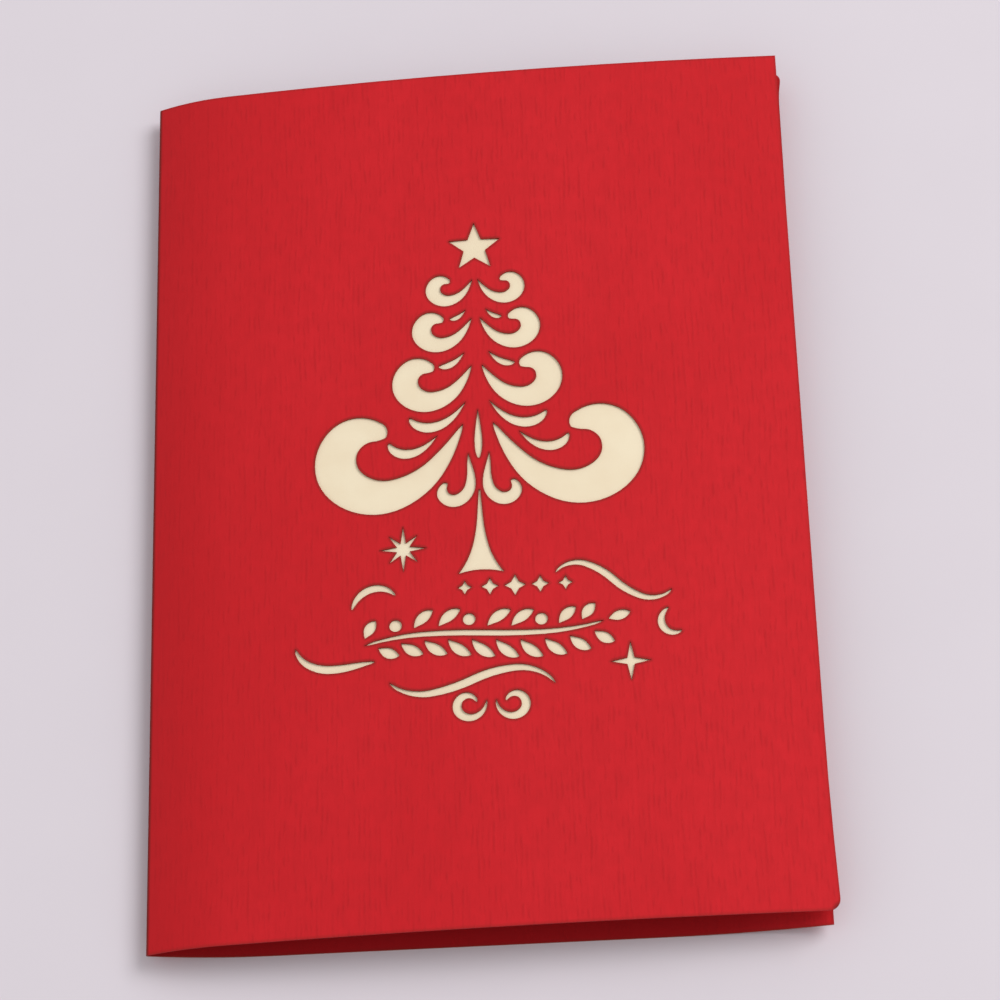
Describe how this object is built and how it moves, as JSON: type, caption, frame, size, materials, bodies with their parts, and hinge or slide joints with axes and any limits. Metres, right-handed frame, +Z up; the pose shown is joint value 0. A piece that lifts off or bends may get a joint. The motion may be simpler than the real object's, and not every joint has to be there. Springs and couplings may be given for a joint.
{
  "type": "pop-up card",
  "caption": "Closed folded greeting card, bowed open at its free edges, with a cut-out tree ornament on the front over a pale sheet and a folded lattice tree inside.",
  "frame": {"origin": "bottom centre of the closed card's box, on the table", "axes": "+Y runs along the fold towards the card's head, +X from the fold to the fore-edge, +Z up out of the front panel"},
  "size_m": [0.1286, 0.1794, 0.0103],
  "materials": {
    "cover_card": "matt embossed red card",
    "liner_paper": "smooth cream paper",
    "slice_paper": "smooth cream paper",
    "anchor_paper": "smooth cream paper"
  },
  "bodies": {
    "root": {"cover": "cover_card", "liner": "liner_paper", "slice_rising_1": "slice_paper", "slice_falling_1": "slice_paper", "slice_rising_2": "slice_paper", "slice_falling_2": "slice_paper", "slice_rising_3": "slice_paper", "slice_falling_3": "slice_paper", "anchor_back_low": "anchor_paper", "anchor_back_high": "anchor_paper", "anchor_front_low": "anchor_paper", "anchor_front_high": "anchor_paper"}
  },
  "joints": []
}
